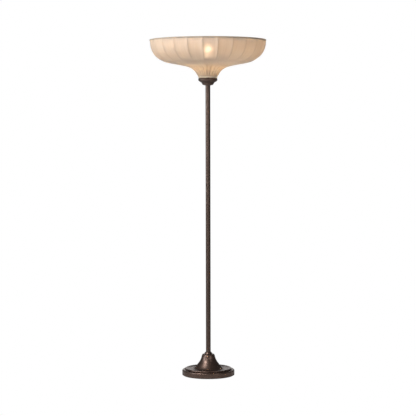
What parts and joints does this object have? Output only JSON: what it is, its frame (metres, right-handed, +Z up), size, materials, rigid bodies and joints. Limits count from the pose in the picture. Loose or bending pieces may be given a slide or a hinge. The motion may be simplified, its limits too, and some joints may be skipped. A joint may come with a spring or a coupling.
{
  "type": "torchiere floor lamp",
  "caption": "Free-standing uplighter: weighted round base with a bell, slim pole, and a wide bowl shade of gathered cloth on a wire frame.",
  "frame": {"origin": "on the floor, on the pole's axis, under the centre of the base", "axes": "+Z up along the pole, -Y towards the front, the switch knob on +X, the lead's bush on +Y"},
  "size_m": [0.6106, 0.6106, 1.778],
  "materials": {
    "felt": "dense wool felt",
    "cast_iron": "as cast, unpainted",
    "bronze": "dark bronze lacquer, satin, with reddish brown highlights",
    "zinc_steel": "zinc plated",
    "brass": "bright, unlacquered",
    "black_plastic": "moulded phenolic",
    "red_plastic": "moulded, matt",
    "black_rubber": "moulded rubber",
    "brown_jacket": "round flexible jacket",
    "white_jacket": "thin wire jacket",
    "frame_wire": "brass-washed steel wire, satin",
    "shade_fabric": "thin gathered cream cloth, translucent",
    "rim_fabric": "narrow folded tape, a shade darker than the cloth",
    "hem_fabric": "flat hem band, a shade lighter than the cloth",
    "bulb_glass": "clear blown glass",
    "stem_glass": "clear pressed glass",
    "black_glass": "fused black glass",
    "nickel": "nickel plated",
    "glowing_filament": "glowing warm white rods",
    "green_board": "coated circuit board"
  },
  "bodies": {
    "stand": {"felt_pad": "felt", "base_weight": "cast_iron", "base_plinth": "bronze", "base_dome": "bronze", "pole_collar": "bronze", "base_rod": "zinc_steel", "base_washer": "zinc_steel", "base_lock_nut": "zinc_steel", "lead_bush": "black_rubber", "inner_lead": "brown_jacket", "lower_tube": "bronze", "middle_tube": "bronze", "upper_tube": "bronze", "lower_tube_insert": "zinc_steel", "middle_tube_insert": "zinc_steel", "middle_tube_stud": "zinc_steel", "upper_tube_stud": "zinc_steel", "foot_plug": "zinc_steel", "head_plug": "zinc_steel", "cap_bead": "bronze", "shade_cap": "bronze", "head_nipple": "zinc_steel", "cap_lock_nut": "zinc_steel", "riser_tube": "bronze", "socket_cup": "brass", "socket_body": "black_plastic", "socket_skirt": "black_plastic", "screw_shell": "brass", "centre_contact": "brass", "terminal_screw_live": "brass", "terminal_screw_neutral": "nickel", "wire_live": "black_rubber", "wire_neutral": "white_jacket"},
    "switch": {"switch_cam": "red_plastic", "switch_spindle": "brass", "switch_knob": "black_plastic"},
    "ring": {"ring_nut": "black_plastic"},
    "shade": {"shade_cloth": "shade_fabric", "rim_trim": "rim_fabric", "neck_hem": "hem_fabric", "shade_cage": "frame_wire", "shade_spider": "frame_wire"},
    "bulb": {"bulb_contact": "nickel", "bulb_insulator": "black_glass", "bulb_screw_cap": "nickel", "bulb_driver": "green_board", "bulb_glass": "bulb_glass", "bulb_stem": "stem_glass", "filament_star_lower": "zinc_steel", "filament_star_upper": "zinc_steel", "filament_1": "glowing_filament", "filament_2": "glowing_filament", "filament_3": "glowing_filament", "filament_4": "glowing_filament"}
  },
  "joints": [
    {"name": "switch_turn", "type": "hinge", "parent": "stand", "child": "switch", "pos_m": [0, 0, 1.634], "axis": [1, 0, 0], "continuous": true},
    {"name": "ring_turn", "type": "hinge", "parent": "stand", "child": "ring", "pos_m": [0, 0, 1.6555], "axis": [0, 0, 1], "continuous": true},
    {"name": "shade_turn", "type": "hinge", "parent": "stand", "child": "shade", "pos_m": [0, 0, 1.6513], "axis": [0, 0, 1], "continuous": true},
    {"name": "bulb_out", "type": "slide", "parent": "stand", "child": "bulb", "axis": [0, 0, 1], "range_m": [0, 0.15]}
  ]
}
